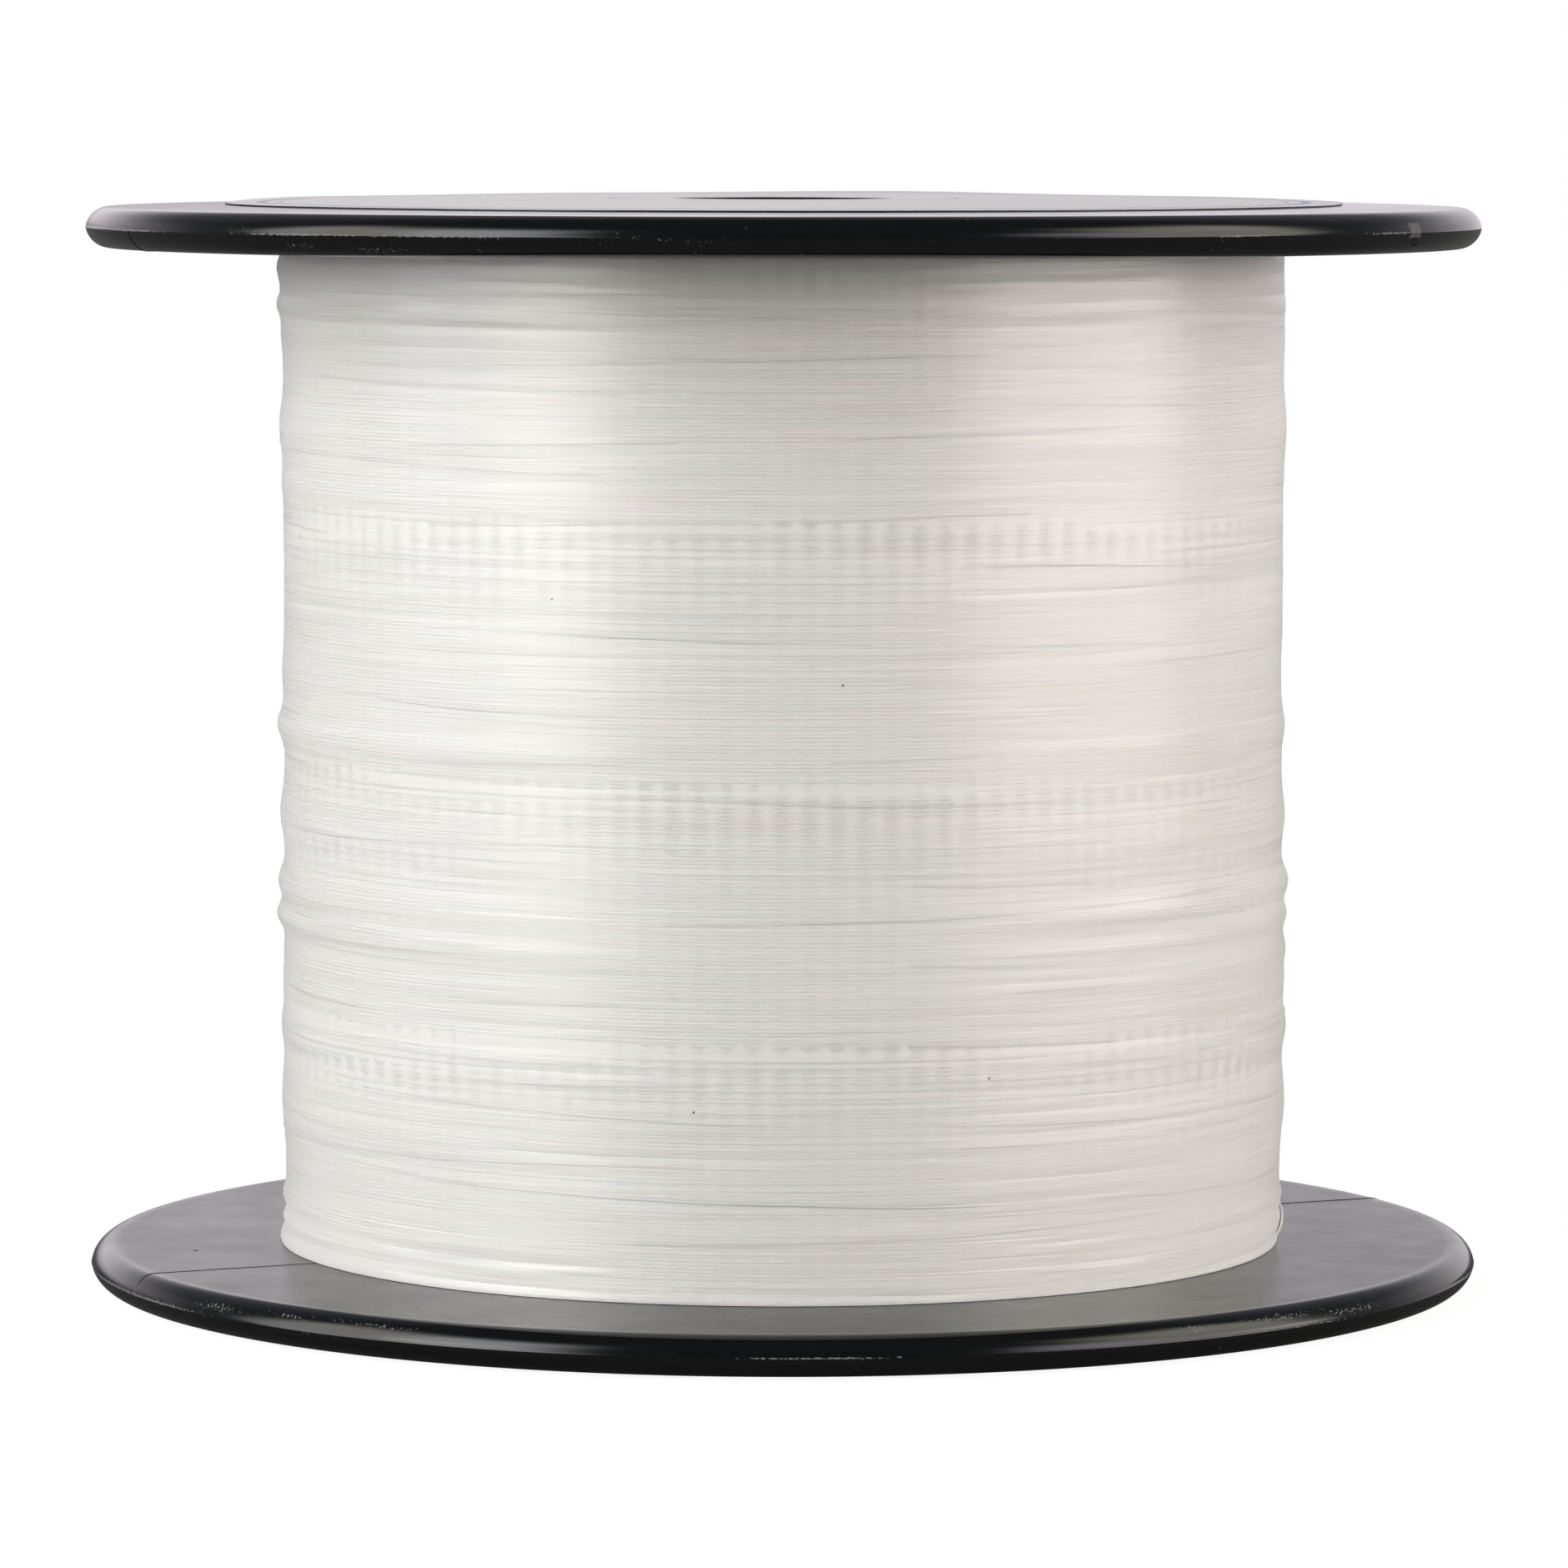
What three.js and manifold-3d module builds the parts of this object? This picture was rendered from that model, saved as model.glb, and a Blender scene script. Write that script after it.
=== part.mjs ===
// A bulk spool of nylon fishing line, standing on one flange with its axis upright.
// Millimetres, +Z up, origin at the centre of the face that it stands on.

import * as THREE from 'three';
import { mergeVertices } from 'three/addons/utils/BufferGeometryUtils.js';
import Module from 'manifold-3d';

const wasm = await Module();
wasm.setup();

// Moulded body
const flangeRadius = 70;
const flangeThickness = 4;
const flangeSpan = 108.25;        // outer face to outer face
const rimInset = 2;               // width of the rounded part of the rim
const rimFullness = 1.75;         // 2 is an ellipse, less comes to a blunt point at mid rim
const barrelRadius = 28;
const barrelWall = 2.5;
const boreRadius = 10.8;
const boreLeadIn = 0.5;
const arborWall = 2.2;
const webThickness = 2.4;         // disc half way up that joins barrel and arbor
const ribCount = 8;
const ribThickness = 1.6;
const ribSetback = 1.0;           // ribs stop short of the end faces

// Paper labels
const labelRadius = 56.1;
const labelHoleRadius = 11.5;
const labelPaper = 0.2;
const glueFilm = 0.05;

// Line
const lineDiameter = 0.36;
const packRadius = 50.38;         // outside of the outer turns
const outerTurns = 24;
const turnEdgeGap = 1.0;          // flange face to the middle of the first turn
const packClearance = 0.3;        // between the pack and what it lies against
const slackRise = 0.55;           // how far the slack turn stands proud
const slackAngle = 0;             // where it does so, in radians from +X
const slackSpread = 0.35;         // half width of the slack stretch, in radians
const slackTurn = 1;              // which turn it is, counted from the lower end

// The pack is a little fuller in places: height from its middle, rise at its -X side
// and at its +X side, and spread.
const swells = [
  { height: 46, left: 0.6, right: 0.3, spread: 3 },
  { height: 32, left: 0.4, right: 0.3, spread: 3 },
  { height: 2.2, left: 0.7, right: 0.3, spread: 2.4 },
  { height: -7, left: 0.4, right: 0.25, spread: 2.4 },
  { height: -15.5, left: 0.7, right: 0.5, spread: 2.6 },
  { height: -30, left: 0.4, right: 0.5, spread: 5 },
];

// Tape that holds the first turn on the barrel
const tapeWidth = 19;
const tapeLength = 45;
const tapeThickness = 0.15;

// Facets
const bodySides = 64;
const coreSides = 48;
const rimSteps = 8;
const coreSteps = 40;
const stepsPerTurn = 24;
const bendSteps = 2;
const tubeSides = 6;
const tapeSteps = 8;
const weldDistance = 1e-5;        // corners nearer than this are one corner

// Heights that follow from these
const standoff = labelPaper + glueFilm;
const bottomFace = standoff;
const topFace = bottomFace + flangeSpan;
const lowerInner = bottomFace + flangeThickness;
const upperInner = topFace - flangeThickness;
const midHeight = (bottomFace + topFace) / 2;
const packWidth = upperInner - lowerInner;
const lineRadius = lineDiameter / 2;

const blackPlastic = new THREE.MeshStandardMaterial({ color: 0x151515, roughness: 0.28, metalness: 0 });
const nylonLine = new THREE.MeshStandardMaterial({ color: 0xe8e5e0, roughness: 0.35, metalness: 0 });
const labelStock = new THREE.MeshStandardMaterial({ color: 0xe4e2e0, roughness: 0.55, metalness: 0 });
const tapeFilm = new THREE.MeshStandardMaterial({ color: 0xd9c79a, roughness: 0.4, metalness: 0 });

// Joining and cutting
function toSolid(geometry) {
  const bare = geometry.clone();
  bare.deleteAttribute('normal');
  bare.deleteAttribute('uv');
  const merged = mergeVertices(bare, weldDistance);
  return new wasm.Manifold(new wasm.Mesh({
    numProp: 3,
    vertProperties: new Float32Array(merged.attributes.position.array),
    triVerts: new Uint32Array(merged.index.array),
  }));
}

function toGeometry(solid) {
  const mesh = solid.getMesh();
  const geometry = new THREE.BufferGeometry();
  geometry.setAttribute('position', new THREE.BufferAttribute(new Float32Array(mesh.vertProperties), 3));
  geometry.setIndex(new THREE.BufferAttribute(new Uint32Array(mesh.triVerts), 1));
  geometry.computeVertexNormals();
  return geometry;
}

// A closed outline of (radius, height) points, turned about the Z axis
function turned(outline, sides) {
  const points = outline.map(([radius, height]) => new THREE.Vector2(radius, height));
  points.push(points[0].clone());
  return new THREE.LatheGeometry(points, sides).rotateX(Math.PI / 2);
}

// One rim, from its lower edge round to its upper edge
function rimOutline(middle) {
  const outline = [];
  for (let i = 0; i <= rimSteps; i += 1) {
    const angle = (Math.PI * i) / rimSteps - Math.PI / 2;
    const reach = Math.abs(Math.cos(angle)) ** (2 / rimFullness);
    const lift = Math.sign(Math.sin(angle)) * Math.abs(Math.sin(angle)) ** (2 / rimFullness);
    outline.push([flangeRadius - rimInset + rimInset * reach, middle + (flangeThickness / 2) * lift]);
  }
  return outline;
}

// Flanges, barrel, web and arbor are one moulding: turned, then joined to its ribs.
function bodyGeometry() {
  const arborRadius = boreRadius + arborWall;
  const barrelInside = barrelRadius - barrelWall;
  const webTop = midHeight + webThickness / 2;
  const webBottom = midHeight - webThickness / 2;
  const outline = [
    [boreRadius + boreLeadIn, bottomFace],
    [arborRadius, bottomFace],
    [arborRadius, webBottom],
    [barrelInside, webBottom],
    [barrelInside, bottomFace],
    ...rimOutline(bottomFace + flangeThickness / 2),
    [barrelRadius, lowerInner],
    [barrelRadius, upperInner],
    ...rimOutline(topFace - flangeThickness / 2),
    [barrelInside, topFace],
    [barrelInside, webTop],
    [arborRadius, webTop],
    [arborRadius, topFace],
    [boreRadius + boreLeadIn, topFace],
    [boreRadius, topFace - boreLeadIn],
    [boreRadius, bottomFace + boreLeadIn],
  ];
  let body = toSolid(turned(outline, bodySides));
  const ribInside = boreRadius + arborWall / 2;
  const ribOutside = barrelInside + barrelWall / 2;
  for (let i = 0; i < ribCount; i += 1) {
    const rib = new THREE.BoxGeometry(ribOutside - ribInside, ribThickness, flangeSpan - 2 * ribSetback);
    rib.translate((ribInside + ribOutside) / 2, 0, midHeight);
    rib.rotateZ((2 * Math.PI * (i + 0.5)) / ribCount);
    body = body.add(toSolid(rib));
  }
  return toGeometry(body);
}

// How much fuller than its nominal radius the pack is at an angle and a height
function swellAt(angle, height) {
  const toRight = Math.max(Math.cos(angle), 0) ** 2;
  const toLeft = Math.max(-Math.cos(angle), 0) ** 2;
  let rise = 0;
  for (const swell of swells) {
    const away = (height - midHeight - swell.height) / swell.spread;
    rise += (swell.left * toLeft + swell.right * toRight) * Math.exp(-away * away);
  }
  return rise;
}

// Middle of the line in the outer turns
function turnRadius(angle, height) {
  return packRadius - lineRadius + swellAt(angle, height);
}

// The turns run straight from step to step, so the layers under them stay inside those chords.
function coreRadius(angle, height) {
  return turnRadius(angle, height) * Math.cos(Math.PI / stepsPerTurn) - lineRadius - packClearance;
}

const coreInside = barrelRadius + tapeThickness + 2 * packClearance;

// All the layers under the outer one, as one ring round the barrel: turned at its
// nominal radius, and then its outer wall is moved out to its swells
function coreGeometry() {
  const bottom = lowerInner + packClearance;
  const top = upperInner - packClearance;
  const outline = [[coreInside, bottom]];
  for (let i = 0; i <= coreSteps; i += 1) {
    outline.push([packRadius, bottom + ((top - bottom) * i) / coreSteps]);
  }
  outline.push([coreInside, top]);
  const ring = turned(outline, coreSides);
  const corners = ring.attributes.position;
  for (let i = 0; i < corners.count; i += 1) {
    const x = corners.getX(i);
    const y = corners.getY(i);
    if (Math.hypot(x, y) < (coreInside + packRadius) / 2) continue;
    const angle = Math.atan2(y, x);
    const radius = coreRadius(angle, corners.getZ(i));
    corners.setXY(i, radius * Math.cos(angle), radius * Math.sin(angle));
  }
  return ring;
}

// Route of the outer turns: up out of the pack, round, and down into it again
function outerRoute() {
  const start = upperInner - turnEdgeGap;
  const fall = (packWidth - 2 * turnEdgeGap) / outerTurns;
  const at = (angle, radius, height) => new THREE.Vector3(
    radius * Math.cos(angle), radius * Math.sin(angle), height);
  const tuckedEnd = (angle, height, along) => {
    const seat = coreRadius(angle, height) + lineRadius + packClearance / 2;
    const straightTop = seat + lineDiameter;
    const bend = turnRadius(angle, height) - straightTop;
    const points = [at(angle, seat, height), at(angle, straightTop, height)];
    for (let i = 1; i <= bendSteps; i += 1) {
      const swing = (Math.PI / 2) * (i / bendSteps);
      const ahead = (along * bend * (1 - Math.cos(swing))) / turnRadius(angle, height);
      points.push(at(angle + ahead, straightTop + bend * Math.sin(swing), height));
    }
    return points;
  };
  const points = tuckedEnd(0, start, 1);
  const steps = outerTurns * stepsPerTurn;
  for (let i = 1; i < steps; i += 1) {
    const angle = (2 * Math.PI * i) / stepsPerTurn;
    const height = start - (fall * i) / stepsPerTurn;
    points.push(at(angle, turnRadius(angle, height) + slackAt(steps - i, angle), height));
  }
  return points.concat(tuckedEnd(2 * Math.PI * outerTurns, start - fall * outerTurns, -1).reverse());
}

// One turn near the lower end bulges out at one side, where it has come slack.
function slackAt(stepsLeft, angle) {
  if (Math.abs(stepsLeft / stepsPerTurn - slackTurn) > 0.5) return 0;
  const away = Math.abs(Math.atan2(Math.sin(angle - slackAngle), Math.cos(angle - slackAngle)));
  return slackRise * Math.exp(-((away / slackSpread) ** 2));
}

// A closed tube along a route, with flat ends
function tubeGeometry(route, radius) {
  const rings = [];
  const heading = (i) => {
    const before = route[Math.max(i - 1, 0)];
    const after = route[Math.min(i + 1, route.length - 1)];
    return after.clone().sub(before).normalize();
  };
  let side = new THREE.Vector3(0, 0, 1);
  route.forEach((point, i) => {
    const ahead = heading(i);
    side = side.clone().addScaledVector(ahead, -side.dot(ahead)).normalize();
    const across = ahead.clone().cross(side);
    const ring = [];
    for (let k = 0; k < tubeSides; k += 1) {
      const angle = (2 * Math.PI * k) / tubeSides;
      ring.push(point.clone()
        .addScaledVector(side, radius * Math.cos(angle))
        .addScaledVector(across, radius * Math.sin(angle)));
    }
    rings.push(ring);
  });
  const positions = rings.flat().flatMap((p) => [p.x, p.y, p.z]);
  const faces = [];
  for (let i = 0; i + 1 < rings.length; i += 1) {
    for (let k = 0; k < tubeSides; k += 1) {
      const a = i * tubeSides + k;
      const b = i * tubeSides + ((k + 1) % tubeSides);
      faces.push(a, b, a + tubeSides, b, b + tubeSides, a + tubeSides);
    }
  }
  const last = (rings.length - 1) * tubeSides;
  for (let k = 1; k + 1 < tubeSides; k += 1) {
    faces.push(0, k + 1, k, last, last + k, last + k + 1);
  }
  const geometry = new THREE.BufferGeometry();
  geometry.setAttribute('position', new THREE.Float32BufferAttribute(positions, 3));
  geometry.setIndex(faces);
  geometry.computeVertexNormals();
  return geometry;
}

// Least gap of a wound tube to itself, measured between points at least half a turn apart
function leastSelfGap(route, diameter) {
  let least = Infinity;
  for (let i = 0; i < route.length; i += 1) {
    for (let j = i + stepsPerTurn / 2; j < route.length; j += 1) {
      least = Math.min(least, route[i].distanceTo(route[j]));
    }
  }
  return least - diameter;
}

// A label: a flat ring of paper
function labelGeometry() {
  return turned([
    [labelHoleRadius, 0],
    [labelRadius, 0],
    [labelRadius, labelPaper],
    [labelHoleRadius, labelPaper],
  ], bodySides);
}

// The start tape lies round part of the barrel at mid height.
function tapeGeometry() {
  const inside = barrelRadius + packClearance;
  const outside = inside + tapeThickness;
  const halfAngle = tapeLength / inside / 2;
  const shape = new THREE.Shape();
  for (let i = 0; i <= tapeSteps; i += 1) {
    const angle = -halfAngle + (2 * halfAngle * i) / tapeSteps;
    const x = inside * Math.cos(angle);
    const y = inside * Math.sin(angle);
    if (i === 0) shape.moveTo(x, y);
    else shape.lineTo(x, y);
  }
  for (let i = tapeSteps; i >= 0; i -= 1) {
    const angle = -halfAngle + (2 * halfAngle * i) / tapeSteps;
    shape.lineTo(outside * Math.cos(angle), outside * Math.sin(angle));
  }
  shape.closePath();
  return new THREE.ExtrudeGeometry(shape, { depth: tapeWidth, bevelEnabled: false, steps: 1 });
}

const spool = new THREE.Group();

function place(name, geometry, material, height = 0) {
  const mesh = new THREE.Mesh(geometry, material);
  mesh.name = name;
  mesh.position.z = height;
  spool.add(mesh);
}

const route = outerRoute();
console.log(`outer turns: least gap to itself ${leastSelfGap(route, lineDiameter).toFixed(2)} mm`);

place('spool_body', bodyGeometry(), blackPlastic);
place('line_inner_layers', coreGeometry(), nylonLine);
place('line_outer_layer', tubeGeometry(route, lineRadius), nylonLine);
place('top_label', labelGeometry(), labelStock, topFace + glueFilm);
place('bottom_label', labelGeometry(), labelStock, 0);
place('start_tape', tapeGeometry(), tapeFilm, midHeight - tapeWidth / 2);

export default spool;
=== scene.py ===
import math

import bmesh
import bpy
from mathutils import Matrix, Vector


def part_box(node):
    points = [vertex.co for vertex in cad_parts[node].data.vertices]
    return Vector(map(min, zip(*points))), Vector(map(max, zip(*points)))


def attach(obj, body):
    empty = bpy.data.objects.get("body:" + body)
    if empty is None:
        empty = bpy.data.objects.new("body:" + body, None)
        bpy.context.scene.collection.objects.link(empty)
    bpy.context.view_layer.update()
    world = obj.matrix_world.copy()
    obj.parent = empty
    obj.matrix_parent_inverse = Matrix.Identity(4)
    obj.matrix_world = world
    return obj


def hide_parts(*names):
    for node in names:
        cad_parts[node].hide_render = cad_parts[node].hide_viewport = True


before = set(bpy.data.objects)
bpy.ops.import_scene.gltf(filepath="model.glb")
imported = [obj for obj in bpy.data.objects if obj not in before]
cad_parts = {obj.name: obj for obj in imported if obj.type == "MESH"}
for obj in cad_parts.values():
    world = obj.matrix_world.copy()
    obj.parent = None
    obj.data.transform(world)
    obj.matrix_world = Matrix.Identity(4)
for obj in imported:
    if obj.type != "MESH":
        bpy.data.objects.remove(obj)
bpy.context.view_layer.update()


# Camera. A long lens a little higher than the top of the spool, tipped down by under
# five degrees, so that the top face is seen almost edge on.
MM = 0.001
IMAGE_WIDTH = 1880
FOCAL_PIXELS = 9916
SENSOR = 36
camera_place = Vector((2.0, -834.0, 120.0)) * MM
camera_yaw = -0.0023
camera_pitch = 0.0835
camera_roll = -0.001

camera_data = bpy.data.cameras.new("camera")
camera_data.sensor_width = SENSOR
camera_data.lens = FOCAL_PIXELS * SENSOR / IMAGE_WIDTH
camera_data.clip_start = 0.01
camera = bpy.data.objects.new("camera", camera_data)
bpy.context.scene.collection.objects.link(camera)
bpy.context.scene.camera = camera
ahead = Vector((
    math.sin(camera_yaw) * math.cos(camera_pitch),
    math.cos(camera_yaw) * math.cos(camera_pitch),
    -math.sin(camera_pitch),
))
level = Vector((math.cos(camera_yaw), -math.sin(camera_yaw), 0))
downward = ahead.cross(level)
right = level * math.cos(camera_roll) + downward * math.sin(camera_roll)
up = level * math.sin(camera_roll) - downward * math.cos(camera_roll)
camera_turn = Matrix((right, up, -ahead)).transposed().to_4x4()
camera.matrix_world = Matrix.Translation(camera_place) @ camera_turn


# Spool body. One glossy black moulding: two flanges on a ribbed barrel with a tube for
# the spindle, and a top face that is crowned a little. The mould's parts met round the
# middle of each rim and across the inner faces, where they left fine raised lines.
body_low, body_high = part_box("spool_body")
body_sides = 288
flange_radius = body_high.x
flange_thickness = 4 * MM
rim_inset = 2 * MM
rim_start = flange_radius - rim_inset
rim_fullness = 1.75
rim_steps = 32
crown_height = 0.75 * MM
crown_steps = 12
parting_height = 0.045 * MM
parting_width = 0.16 * MM
barrel_radius = 28 * MM
barrel_wall = 2.5 * MM
bore_radius = 10.8 * MM
bore_lead_in = 0.5 * MM
arbor_wall = 2.2 * MM
web_thickness = 2.4 * MM
rib_count = 8
rib_thickness = 1.6 * MM
rib_setback = 1.0 * MM
slide_angles = (math.radians(-155.3), math.radians(24.7))
slide_line_width = 0.2 * MM
slide_line_height = 0.05 * MM
slide_line_gap = 1 * MM
slide_line_steps = 12
lower_inner = body_low.z + flange_thickness
upper_inner = body_high.z - flange_thickness
mid_height = (body_low.z + body_high.z) / 2


def link(name, mesh):
    piece = bpy.data.objects.new(name, mesh)
    bpy.context.scene.collection.objects.link(piece)
    return piece


def closed_mesh(name, points, faces):
    """The mesh of a closed surface, with all its faces turned outward."""
    mesh = bpy.data.meshes.new(name)
    mesh.from_pydata(points, [], faces)
    closed = bmesh.new()
    closed.from_mesh(mesh)
    bmesh.ops.recalc_face_normals(closed, faces=closed.faces)
    closed.to_mesh(mesh)
    closed.free()
    return mesh


def turned(name, outline, sides):
    """A closed outline of (radius, height), turned about the Z axis."""
    points = []
    for side in range(sides):
        angle = 2 * math.pi * side / sides
        points += [(r * math.cos(angle), r * math.sin(angle), z) for r, z in outline]
    faces = []
    for side in range(sides):
        here, there = side * len(outline), (side + 1) % sides * len(outline)
        for i in range(len(outline)):
            j = (i + 1) % len(outline)
            faces.append((here + i, there + i, there + j, here + j))
    return link(name, closed_mesh(name, points, faces))


def baked(piece, sharp_angle=None):
    """The piece with its modifiers made real, and smooth but for its sharp edges."""
    graph = bpy.context.evaluated_depsgraph_get()
    mesh = bpy.data.meshes.new_from_object(piece.evaluated_get(graph))
    piece.modifiers.clear()
    piece.data = mesh
    if sharp_angle is not None:
        mesh.shade_smooth()
        mesh.set_sharp_from_angle(angle=math.radians(sharp_angle))
    return piece


def rim_point(angle, middle):
    """A point of the rim's section; angle runs from the lower edge, -90, to the upper, 90."""
    reach = abs(math.cos(angle)) ** (2 / rim_fullness)
    lift = math.copysign(abs(math.sin(angle)) ** (2 / rim_fullness), angle)
    return rim_start + rim_inset * reach, middle + flange_thickness / 2 * lift


def rim_outline(middle):
    """The rim's section, with the raised parting line at its middle."""
    outline = [rim_point(math.pi * (i / rim_steps - 0.5), middle) for i in range(rim_steps + 1)]
    flash = [(flange_radius, middle - parting_width / 2),
             (flange_radius + parting_height, middle),
             (flange_radius, middle + parting_width / 2)]
    low = [p for p in outline if p[1] < middle - parting_width]
    high = [p for p in outline if p[1] > middle + parting_width]
    return low + flash + high


def crown(radius):
    """How far the top face stands up at a radius."""
    return crown_height * (1 - (radius / rim_start) ** 2)


arbor_radius = bore_radius + arbor_wall
barrel_inside = barrel_radius - barrel_wall
crown_radii = [rim_start + (barrel_inside - rim_start) * i / crown_steps for i in range(1, crown_steps + 1)]
arbor_top = body_high.z + crown(arbor_radius)
web_top = mid_height + web_thickness / 2
web_bottom = mid_height - web_thickness / 2
lower_middle = body_low.z + flange_thickness / 2
upper_middle = body_high.z - flange_thickness / 2
body_outline = [
    (bore_radius + bore_lead_in, body_low.z),
    (arbor_radius, body_low.z),
    (arbor_radius, web_bottom),
    (barrel_inside, web_bottom),
    (barrel_inside, body_low.z),
    *rim_outline(lower_middle),
    (barrel_radius, lower_inner),
    (barrel_radius, upper_inner),
    *rim_outline(upper_middle),
    *[(r, body_high.z + crown(r)) for r in crown_radii],
    (barrel_inside, web_top),
    (arbor_radius, web_top),
    (arbor_radius, arbor_top),
    (bore_radius + bore_lead_in, arbor_top),
    (bore_radius, arbor_top - bore_lead_in),
    (bore_radius, body_low.z + bore_lead_in),
]
body = turned("moulded_body", body_outline, body_sides)


def added(piece, extra):
    """Joins an extra shape to a piece, so that the two are one solid."""
    union = piece.modifiers.new("join", "BOOLEAN")
    union.operation = "UNION"
    union.solver = "MANIFOLD"
    union.object = extra
    baked(piece)
    bpy.data.objects.remove(extra)


ribs = bmesh.new()
rib_inside = bore_radius + arbor_wall / 2
rib_outside = barrel_inside + barrel_wall / 2
for i in range(rib_count):
    size = (rib_outside - rib_inside, rib_thickness, body_high.z - body_low.z - 2 * rib_setback)
    out = Matrix.Translation(((rib_inside + rib_outside) / 2, 0, mid_height))
    about = Matrix.Rotation(2 * math.pi * (i + 0.5) / rib_count, 4, "Z")
    bmesh.ops.create_cube(ribs, size=1, matrix=about @ out @ Matrix.Diagonal((*size, 1)))
rib_mesh = bpy.data.meshes.new("ribs")
ribs.to_mesh(rib_mesh)
ribs.free()
# The ribs meet one another only through the web and the walls, so they join in one go.
added(body, link("ribs", rib_mesh))


def slide_line(angle, middle, inner_sign):
    """A low ridge along the inner face and over half the rim, where two slides met."""
    path = [(barrel_radius + slide_line_gap, middle + inner_sign * flange_thickness / 2)]
    path += [rim_point(inner_sign * math.pi / 2 * (1 - i / slide_line_steps), middle)
             for i in range(slide_line_steps + 1)]
    across = Vector((-math.sin(angle), math.cos(angle), 0)) * slide_line_width / 2
    out = Vector((math.cos(angle), math.sin(angle), 0))
    rings = []
    for i, (radius, height) in enumerate(path):
        before, after = path[max(i - 1, 0)], path[min(i + 1, len(path) - 1)]
        run = Vector((after[0] - before[0], after[1] - before[1])).normalized()
        away = out * abs(run.y) + Vector((0, 0, inner_sign)) * abs(run.x)
        base = out * radius + Vector((0, 0, height))
        sunk = base - away * slide_line_height
        rings.append([sunk - across, base + away * slide_line_height, sunk + across])
    points = [p for ring in rings for p in ring]
    faces = []
    for i in range(len(rings) - 1):
        for k in range(3):
            a, b = 3 * i + k, 3 * i + (k + 1) % 3
            faces.append((a, b, b + 3, a + 3))
    faces += [(0, 2, 1), (len(points) - 3, len(points) - 2, len(points) - 1)]
    return link("slide_line", closed_mesh("slide_line", points, faces))


for angle in slide_angles:
    added(body, slide_line(angle, lower_middle, 1))
    added(body, slide_line(angle, upper_middle, -1))
baked(body, sharp_angle=32)


def node(tree, kind, inputs=(), **settings):
    """A node with its settings, and each input set to a value or joined to a socket."""
    made = tree.nodes.new(kind)
    for name, value in settings.items():
        setattr(made, name, value)
    for key, value in dict(inputs).items():
        if isinstance(value, bpy.types.NodeSocket):
            tree.links.new(value, made.inputs[key])
        else:
            made.inputs[key].default_value = value
    return made


def calc(tree, operation, *values):
    return node(tree, "ShaderNodeMath", enumerate(values), operation=operation).outputs[0]


def vector(tree, operation, *values):
    """One step of vector arithmetic whose result is a vector."""
    return node(tree, "ShaderNodeVectorMath", enumerate(values), operation=operation).outputs[0]


def measured(tree, operation, *values):
    """One step of vector arithmetic whose result is a number."""
    return node(tree, "ShaderNodeVectorMath", enumerate(values), operation=operation).outputs["Value"]


def scaled(tree, value, amount):
    return node(tree, "ShaderNodeVectorMath", {0: value, "Scale": amount}, operation="SCALE").outputs[0]


def from_the_axis(tree, place):
    """The level vector from the spool's axis to a place."""
    return vector(tree, "MULTIPLY", place, (1, 1, 0))


def split(tree, value):
    """The separate X, Y and Z of a vector."""
    return node(tree, "ShaderNodeSeparateXYZ", {0: value}).outputs


def degrees_round(tree, where):
    """Degrees round the axis from the camera's side, positive to the right."""
    backward = calc(tree, "MULTIPLY", where["Y"], -1.0)
    return calc(tree, "DEGREES", calc(tree, "ARCTAN2", where["X"], backward))


def noise(tree, place, scale, detail):
    inputs = {"Vector": place, "Scale": scale, "Detail": detail}
    return node(tree, "ShaderNodeTexNoise", inputs).outputs[0]


def ramp(tree, value, start, end, **settings):
    """Rises from 0 at start to 1 at end; falls where end is the smaller."""
    inputs = {"Value": value, "From Min": start, "From Max": end}
    return node(tree, "ShaderNodeMapRange", inputs, **settings).outputs[0]


def shader_group(name, inputs, outputs):
    group = bpy.data.node_groups.new(name, "ShaderNodeTree")
    for title, kind in inputs:
        group.interface.new_socket(title, in_out="INPUT", socket_type=kind)
    for title, kind in outputs:
        group.interface.new_socket(title, in_out="OUTPUT", socket_type=kind)
    return group, group.nodes.new("NodeGroupInput").outputs, group.nodes.new("NodeGroupOutput").inputs


# Specks: a mask of small separate marks, such as dust or nicks. Per Metre sets how fine
# they are, and Cover how much of the surface they take.
speck_level = 0.8
speck_sharpness = 14.0
specks, specks_in, specks_out = shader_group(
    "specks",
    [("Place", "NodeSocketVector"), ("Per Metre", "NodeSocketFloat"), ("Cover", "NodeSocketFloat")],
    [("Mask", "NodeSocketFloat")],
)
speck_field = node(specks, "ShaderNodeTexNoise",
                   {"Vector": specks_in["Place"], "Scale": specks_in["Per Metre"],
                    "Detail": 3.0, "Roughness": 0.65})
speck_limit = calc(specks, "SUBTRACT", speck_level, specks_in["Cover"])
speck_over = calc(specks, "SUBTRACT", speck_field.outputs[0], speck_limit)
speck_mask = node(specks, "ShaderNodeMath", {0: speck_over, 1: speck_sharpness},
                  operation="MULTIPLY", use_clamp=True).outputs[0]
specks.links.new(speck_mask, specks_out["Mask"])


def plain_material(name):
    material = bpy.data.materials.new(name)
    material.use_nodes = True
    tree = material.node_tree
    shader = tree.nodes["Principled BSDF"]
    place = node(tree, "ShaderNodeTexCoord").outputs["Object"]
    return material, tree, shader, place


def mixed_colour(tree, amount, low, high):
    return node(tree, "ShaderNodeMix", {0: amount, 6: low, 7: high}, data_type="RGBA").outputs[2]


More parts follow.
